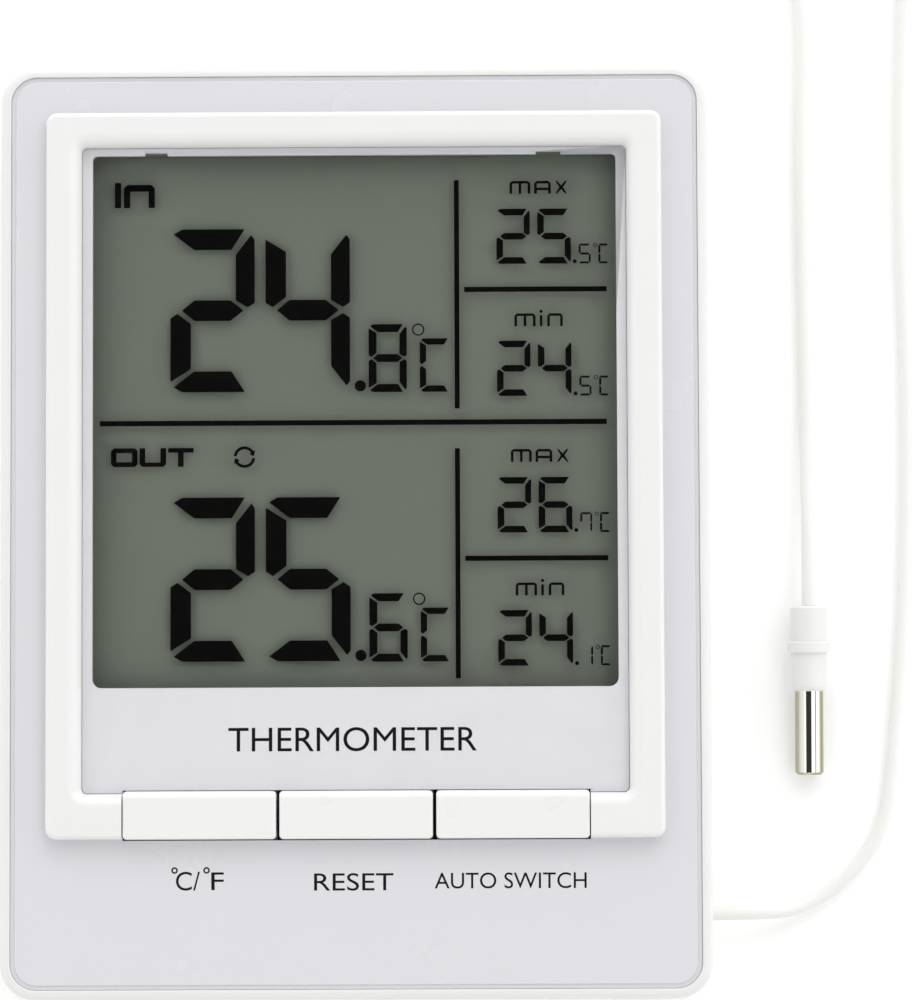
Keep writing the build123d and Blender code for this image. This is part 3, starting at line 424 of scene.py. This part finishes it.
# both glasses and the film on them make one clear block, stepped where the front glass overhangs
cell_section = [
    (CELL_REAR_LOWER, CELL_BOTTOM), (CELL_REAR_UPPER, CELL_BOTTOM),
    (CELL_REAR_UPPER, CELL_MIDDLE), (CELL_UPPER, CELL_MIDDLE), (CELL_UPPER, CELL_TOP),
    (CELL_LOWER, CELL_TOP), (CELL_LOWER, CELL_MIDDLE), (CELL_REAR_LOWER, CELL_MIDDLE),
]
lcd_cell = prism(
    "lcd_cell", [cell_section], -CELL_HALF, CELL_HALF, "lcd_glass", lambda y, z, x: (x, y, z),
)
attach(lcd_cell, "case")
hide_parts("lcd_front_glass", "lcd_rear_glass", "lcd_polariser")

# ---------------------------------------------------------------- display figures
FIGURE_BOTTOM = 15.99
FIGURE_TOP = 16.01
ROUND_STEPS = 32
BAND_LEAST_STEPS = 6


def moved(outline, x, y):
    return [(px + x, py + y) for px, py in outline]


def rectangle(low_x, low_y, high_x, high_y):
    return [(low_x, low_y), (high_x, low_y), (high_x, high_y), (low_x, high_y)]


def arc(x, y, radius, angles):
    return [(x + radius * math.cos(a), y + radius * math.sin(a)) for a in angles]


def disc(x, y, radius):
    return arc(x, y, radius, [2 * math.pi * i / ROUND_STEPS for i in range(ROUND_STEPS)])


def band(x, y, radius, width, start, end):
    """Part of a ring, from one angle to another in degrees."""
    steps = max(BAND_LEAST_STEPS, round(abs(end - start) / 360 * ROUND_STEPS))
    angles = [math.radians(start + (end - start) * i / steps) for i in range(steps + 1)]
    outer = arc(x, y, radius + width / 2, angles)
    inner = arc(x, y, radius - width / 2, angles)
    return outer + inner[::-1]


def digit_bars(width, height, bar):
    """The seven bars of a digit, its lower left corner at the origin. Their mitred ends are
    set out in shares of a bar's thickness."""
    middle = height / 2
    top = [
        (0.15 * bar, height - 0.24 * bar), (0.57 * bar, height), (width - 0.48 * bar, height),
        (width - 1.12 * bar, height - bar), (1.15 * bar, height - bar),
    ]
    right = [
        (width - 0.17 * bar, height - 0.29 * bar), (width, height - 0.51 * bar),
        (width, middle + 0.37 * bar), (width - 0.34 * bar, middle + 0.15 * bar),
        (width - 0.91 * bar, middle + 0.49 * bar), (width - 0.91 * bar, height - 1.24 * bar),
    ]
    left = [
        (0, height - 0.5 * bar), (0, middle + 0.37 * bar), (0.34 * bar, middle + 0.15 * bar),
        (0.99 * bar, middle + 0.65 * bar), (0.99 * bar, height - 1.12 * bar),
    ]
    centre = [
        (0.55 * bar, middle), (1.16 * bar, middle + 0.5 * bar),
        (width - 1.17 * bar, middle + 0.5 * bar), (width - 0.54 * bar, middle),
        (width - 1.17 * bar, middle - 0.5 * bar), (1.16 * bar, middle - 0.5 * bar),
    ]

    def below(outline):
        return [(x, height - y) for x, y in outline]

    return {
        "a": top, "b": right, "c": below(right), "d": below(top), "e": below(left), "f": left,
        "g": centre,
    }


LIT_BARS = {
    "1": "bc", "2": "abged", "4": "fgbc", "5": "afgcd", "6": "afgecd", "7": "fabc",
    "8": "abcdefg", "C": "afed",
}


def digit(character, x, y, width, height, bar):
    bars = digit_bars(width, height, bar)
    return [moved(bars[name], x, y) for name in LIT_BARS[character]]


def comb(x, y, width, height, bar, stroke, legs, corner, upwards=False):
    """A bar with legs under it, as in n and m, or over it, as in U."""
    outline = [
        (0, 0), (0, height - corner), (corner, height), (width - corner, height),
        (width, height - corner), (width, 0),
    ]
    step = (width - stroke) / (legs - 1)
    for leg in range(legs - 1, 0, -1):
        right_edge = leg * step
        left_edge = (leg - 1) * step + stroke
        outline += [
            (right_edge, 0), (right_edge, height - bar), (left_edge, height - bar),
            (left_edge, 0),
        ]
    if upwards:
        outline = [(px, height - py) for px, py in outline]
    return moved(outline, x, y)


def reading(x, y, text, size):
    """A temperature such as 24.8 with its unit, from the lower left corner of the first digit."""
    tens, units, tenths = text[0], text[1], text[3]
    large = (size["width"], size["height"], size["bar"])
    small = (size["small_width"], size["small_height"], size["small_bar"])
    unit = (size["unit_width"], size["unit_height"], size["unit_bar"])
    ring = (x + size["ring_x"], y + size["ring_y"], size["ring_radius"], size["ring_stroke"])
    point_y = y + size["point_radius"] + size["point_lift"]
    small_y = y + size["small_drop"]
    outlines = digit(tens, x, y, *large) + digit(units, x + size["pitch"], y, *large)
    outlines.append(disc(x + size["point_x"], point_y, size["point_radius"]))
    outlines += digit(tenths, x + size["small_x"], small_y, *small)
    outlines += [band(*ring, 0, 180), band(*ring, 180, 360)]
    outlines += digit("C", x + size["unit_x"], small_y, *unit)
    return outlines


MAIN_SIZE = {
    "width": 11.96, "height": 23.2, "bar": 2.94, "pitch": 13.5,
    "point_x": 26.9, "point_radius": 0.8, "point_lift": 0.0,
    "small_x": 28.1, "small_drop": -0.1, "small_width": 5.4, "small_height": 9.65,
    "small_bar": 1.13,
    "ring_x": 35.13, "ring_y": 8.75, "ring_radius": 0.78, "ring_stroke": 0.2,
    "unit_x": 35.35, "unit_width": 4.4, "unit_height": 7.6, "unit_bar": 0.9,
}
SIDE_SIZE = {
    "width": 4.75, "height": 7.85, "bar": 0.94, "pitch": 5.8,
    "point_x": 11.1, "point_radius": 0.29, "point_lift": 0.02,
    "small_x": 11.65, "small_drop": 0.0, "small_width": 1.7, "small_height": 2.83,
    "small_bar": 0.3,
    "ring_x": 14.0, "ring_y": 2.6, "ring_radius": 0.24, "ring_stroke": 0.1,
    "unit_x": 14.45, "unit_width": 1.5, "unit_height": 2.83, "unit_bar": 0.3,
}
WORD_HEIGHT = 1.82                       # of the small words max and min
WORD_STROKE = 0.37
WORD_CORNER = 0.35


def small_letter(x, y, width, legs):
    """An n, m or the frame of an A in the small words."""
    return comb(x, y, width, WORD_HEIGHT, WORD_STROKE, WORD_STROKE, legs, WORD_CORNER)


def word_max(x, y):
    """The small word over the highest readings."""
    outlines = [small_letter(x, y, 2.95, 3), small_letter(x + 3.5, y, 2.35, 2)]
    outlines.append(rectangle(x + 3.87, y + 0.5, x + 5.48, y + 0.85))
    left, right, low, high, half = x + 6.5, x + 8.15, y, y + WORD_HEIGHT, 0.26
    middle_x, middle_y = (left + right) / 2, (low + high) / 2
    outlines.append([
        (left, low), (left + half, low), (middle_x, middle_y - half), (right - half, low),
        (right, low), (middle_x + half, middle_y), (right, high), (right - half, high),
        (middle_x, middle_y + half), (left + half, high), (left, high),
        (middle_x - half, middle_y),
    ])
    return outlines


def word_min(x, y):
    """The small word over the lowest readings."""
    return [
        small_letter(x, y, 3.0, 3),
        rectangle(x + 3.6, y, x + 3.97, y + 1.55),
        disc(x + 3.785, y + 2.1, 0.23),
        small_letter(x + 4.65, y, 2.2, 2),
    ]


def word_in(x, y):
    return [
        rectangle(x, y, x + 0.88, y + 3.6),
        comb(x + 1.28, y, 4.4, 3.3, 0.95, 0.9, 2, 0.5),
    ]


def word_out(x, y):
    height = 2.66
    half = height / 2
    outlines = [
        comb(x, y + half, 3.75, half, 0.68, 0.78, 2, 0.4),
        comb(x, y, 3.75, half, 0.68, 0.78, 2, 0.4, upwards=True),
        comb(x + 4.05, y, 3.75, height, 0.62, 0.8, 2, 0.4, upwards=True),
    ]
    bar_left, bar_right, bar_low, stem_half = x + 8.08, x + 11.7, y + height - 0.65, 0.4
    middle_x = (bar_left + bar_right) / 2
    outlines.append([
        (middle_x - stem_half, y), (middle_x + stem_half, y), (middle_x + stem_half, bar_low),
        (bar_right, bar_low), (bar_right, y + height), (bar_left, y + height),
        (bar_left, bar_low), (middle_x - stem_half, bar_low),
    ])
    return outlines


def cycle_sign(x, y, radius, stroke):
    """Two arrows that chase each other round a ring."""
    head = 1.25 * stroke
    outlines = []
    for turn in (0, 180):
        outlines.append(band(x, y, radius, stroke, turn + 30, turn + 174))
        tip = math.radians(turn + 5)
        root = math.radians(turn + 34)
        outlines.append(
            arc(x, y, radius, [tip]) + arc(x, y, radius + head, [root])
            + arc(x, y, radius - head, [root])
        )
    return outlines


# places in the upper half of the display; the lower half repeats them LOWER_DROP further down
LOWER_DROP = 38.18
MAIN_PLACE = (-26.17, 19.8)
HIGH_PLACE = (20.1, 37.86)
LOW_PLACE = (20.1, 19.05)
WORD_MAX_PLACE = (22.0, 47.86)
WORD_MIN_PLACE = (22.6, 28.96)
RULES = [(14.1, 17.3, 14.8, 49.85), (15.5, 33.87, 35.7, 34.6)]
MIDDLE_RULE = (-36.15, 15.0, 35.6, 15.75)
READINGS = [
    (0.0, "24.8", "25.5", "24.5"),
    (-LOWER_DROP, "25.6", "26.7", "24.1"),
]

figures = []
for drop, now, highest, lowest in READINGS:
    for text, (x, y), size in (
        (now, MAIN_PLACE, MAIN_SIZE), (highest, HIGH_PLACE, SIDE_SIZE),
        (lowest, LOW_PLACE, SIDE_SIZE),
    ):
        figures += reading(x, y + drop, text, size)
    figures += word_max(WORD_MAX_PLACE[0], WORD_MAX_PLACE[1] + drop)
    figures += word_min(WORD_MIN_PLACE[0], WORD_MIN_PLACE[1] + drop)
    figures += [moved(rectangle(*rule), 0, drop) for rule in RULES]
figures.append(rectangle(*MIDDLE_RULE))
figures += word_in(-34.05, 46.1)
figures += word_out(-34.58, 9.22)
figures += cycle_sign(-15.68, 10.55, 1.32, 0.42)

lcd_figures = prism("lcd_figures", figures, FIGURE_BOTTOM, FIGURE_TOP, "lcd_black")
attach(lcd_figures, "case")

# ---------------------------------------------------------------- printed words
PLATE_TOP = 18.8
SURROUND_TOP = 18.6
INK = 0.012
FONT_DEPTH = 0.5                         # the font's solid reaches that far up and down


def printed(name, text, x, y, width, height, level):
    """A word printed on a flat face: the middle of its foot, its width and the height of its
    capitals."""
    curve = bpy.data.curves.new(name, "FONT")
    curve.body = text
    curve.align_x = "CENTER"
    curve.size = 1.0
    curve.extrude = FONT_DEPTH
    curve.resolution_u = 6
    draft = add_object(name + "_curve", curve)
    bpy.context.view_layer.update()
    solid = draft.evaluated_get(bpy.context.evaluated_depsgraph_get())
    mesh = bpy.data.meshes.new_from_object(solid)
    bpy.data.objects.remove(draft)
    xs = [v.co.x for v in mesh.vertices]
    ys = [v.co.y for v in mesh.vertices]
    scale_x = width / (max(xs) - min(xs))
    scale_y = height / max(ys)
    shift = (max(xs) + min(xs)) / 2
    for vertex in mesh.vertices:
        vertex.co = Vector((
            x + (vertex.co.x - shift) * scale_x,
            y + vertex.co.y * scale_y,
            level + (vertex.co.z + FONT_DEPTH) * INK,
        )) * MM
    builder = bmesh.new()
    builder.from_mesh(mesh)
    bmesh.ops.remove_doubles(builder, verts=builder.verts, dist=1e-7)
    bmesh.ops.recalc_face_normals(builder, faces=builder.faces)
    builder.to_mesh(mesh)
    builder.free()
    word = add_object(name, mesh, "print_black")
    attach(word, "case")


for label in (
    ("label_c", "C", -24.08, -50.5, 2.23, 2.6, PLATE_TOP),
    ("label_slash", "/", -22.31, -50.5, 0.95, 2.6, PLATE_TOP),
    ("label_f", "F", -19.37, -50.48, 1.75, 2.48, PLATE_TOP),
    ("label_reset", "RESET", -0.28, -50.6, 11.12, 2.42, PLATE_TOP),
    ("label_auto", "AUTO SWITCH", 21.68, -50.37, 21.27, 2.2, PLATE_TOP),
    ("display_word", "THERMOMETER", -0.4, -31.1, 34.9, 3.35, SURROUND_TOP),
):
    printed(*label)

DEGREE_SIGNS = [(-25.39, -47.72), (-20.91, -47.72)]
DEGREE_RADIUS = 0.35
DEGREE_STROKE = 0.22
degree_outlines = [
    band(x, y, DEGREE_RADIUS, DEGREE_STROKE, start, start + 180)
    for x, y in DEGREE_SIGNS for start in (0, 180)
]
label_degrees = prism(
    "label_degrees", degree_outlines, PLATE_TOP, PLATE_TOP + INK, "print_black",
)
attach(label_degrees, "case")

# ---------------------------------------------------------------- stage
FLOOR_SIZE = 12.0
FLOOR_DROP = 0.02           # millimetres under the part
FLOOR_COLOUR = (0.93, 0.93, 0.93, 1)
FLOOR_GLOW = 0.12           # a table lit from below, as for goods on white
SKY_COLOUR = (1, 0.998, 0.99, 1)
SKY_LIGHT = 1.25
SKY_LEAN_X = 0.1            # how much more light comes from the right
SKY_LEAN_Y = 0.17           # and from the top of the display
PATCH_DIRECTION = Vector((-0.12, 0.03, 0.99)).normalized()
PATCH_EDGE = (0.905, 0.935)
PATCH_LIGHT = 0.03
BAR_SLOPE = 1.2
BAR_HALF = 0.16
BAR_DARKNESS = 0.9
KEY_LIGHT_PLACE = Vector((0.35, 1.1, 0.75))
KEY_LIGHT_SIZE = (1.6, 0.6)
KEY_LIGHT_POWER = 4.0


def build_floor():
    mesh = bpy.data.meshes.new("floor")
    corners = rectangle(-FLOOR_SIZE / 2, -FLOOR_SIZE / 2, FLOOR_SIZE / 2, FLOOR_SIZE / 2)
    mesh.from_pydata([(x, y, -FLOOR_DROP * MM) for x, y in corners], [], [(0, 1, 2, 3)])
    floor = add_object("floor", mesh)
    material, tree, output = new_material("floor_pale")
    shader = tree.nodes.new("ShaderNodeBsdfPrincipled")
    shader.inputs["Base Color"].default_value = FLOOR_COLOUR
    shader.inputs["Roughness"].default_value = 0.8
    shader.inputs["Specular IOR Level"].default_value = 0.1
    shader.inputs["Emission Color"].default_value = (1, 1, 1, 1)
    shader.inputs["Emission Strength"].default_value = FLOOR_GLOW
    tree.links.new(shader.outputs["BSDF"], output.inputs["Surface"])
    mesh.materials.append(material)


def build_sky():
    """Soft light from all round, a little more from the top and the right of the display. A dark
    round patch overhead keeps glare off flat gloss. It also gives bright metal something to
    mirror, as does a thin dark bar beside it."""
    world = bpy.data.worlds.new("studio")
    scene.world = world
    world.use_nodes = True
    tree = world.node_tree
    tree.nodes.clear()
    output = tree.nodes.new("ShaderNodeOutputWorld")
    background = tree.nodes.new("ShaderNodeBackground")
    place = tree.nodes.new("ShaderNodeTexCoord")
    axes = tree.nodes.new("ShaderNodeSeparateXYZ")
    tree.links.new(place.outputs["Generated"], axes.inputs["Vector"])

    def calculated(operation, *inputs):
        step = tree.nodes.new("ShaderNodeMath")
        step.operation = operation
        for socket, value in zip(step.inputs, inputs):
            if isinstance(value, (int, float)):
                socket.default_value = value
            else:
                tree.links.new(value, socket)
        return step.outputs["Value"]

    towards_patch = tree.nodes.new("ShaderNodeVectorMath")
    towards_patch.operation = "DOT_PRODUCT"
    towards_patch.inputs[1].default_value = PATCH_DIRECTION
    tree.links.new(place.outputs["Generated"], towards_patch.inputs[0])
    patch = tree.nodes.new("ShaderNodeMapRange")
    patch.interpolation_type = "SMOOTHSTEP"
    patch.inputs["From Min"].default_value = PATCH_EDGE[0]
    patch.inputs["From Max"].default_value = PATCH_EDGE[1]
    patch.inputs["To Min"].default_value = 1.0
    patch.inputs["To Max"].default_value = PATCH_LIGHT
    tree.links.new(towards_patch.outputs["Value"], patch.inputs["Value"])

    slope = calculated("DIVIDE", axes.outputs["X"], axes.outputs["Z"])
    bar = calculated("COMPARE", slope, BAR_SLOPE, BAR_HALF)
    bar_light = calculated("SUBTRACT", 1.0, calculated("MULTIPLY", bar, BAR_DARKNESS))
    lean = calculated("MULTIPLY_ADD", axes.outputs["Y"], SKY_LEAN_Y, 1.0)
    lean = calculated("MULTIPLY_ADD", axes.outputs["X"], SKY_LEAN_X, lean)
    strength = patch.outputs["Result"]
    for share in (bar_light, lean, SKY_LIGHT):
        strength = calculated("MULTIPLY", strength, share)
    tree.links.new(strength, background.inputs["Strength"])
    background.inputs["Color"].default_value = SKY_COLOUR
    tree.links.new(background.outputs["Background"], output.inputs["Surface"])


def build_key_light():
    """A wide soft light beyond the top of the display, aimed at the origin."""
    data = bpy.data.lights.new("key_light", "AREA")
    data.shape = "RECTANGLE"
    data.size, data.size_y = KEY_LIGHT_SIZE
    data.energy = KEY_LIGHT_POWER
    light = bpy.data.objects.new("key_light", data)
    light.location = KEY_LIGHT_PLACE
    light.rotation_euler = (-KEY_LIGHT_PLACE).to_track_quat("-Z", "Y").to_euler()
    scene.collection.objects.link(light)


build_floor()
build_sky()
build_key_light()
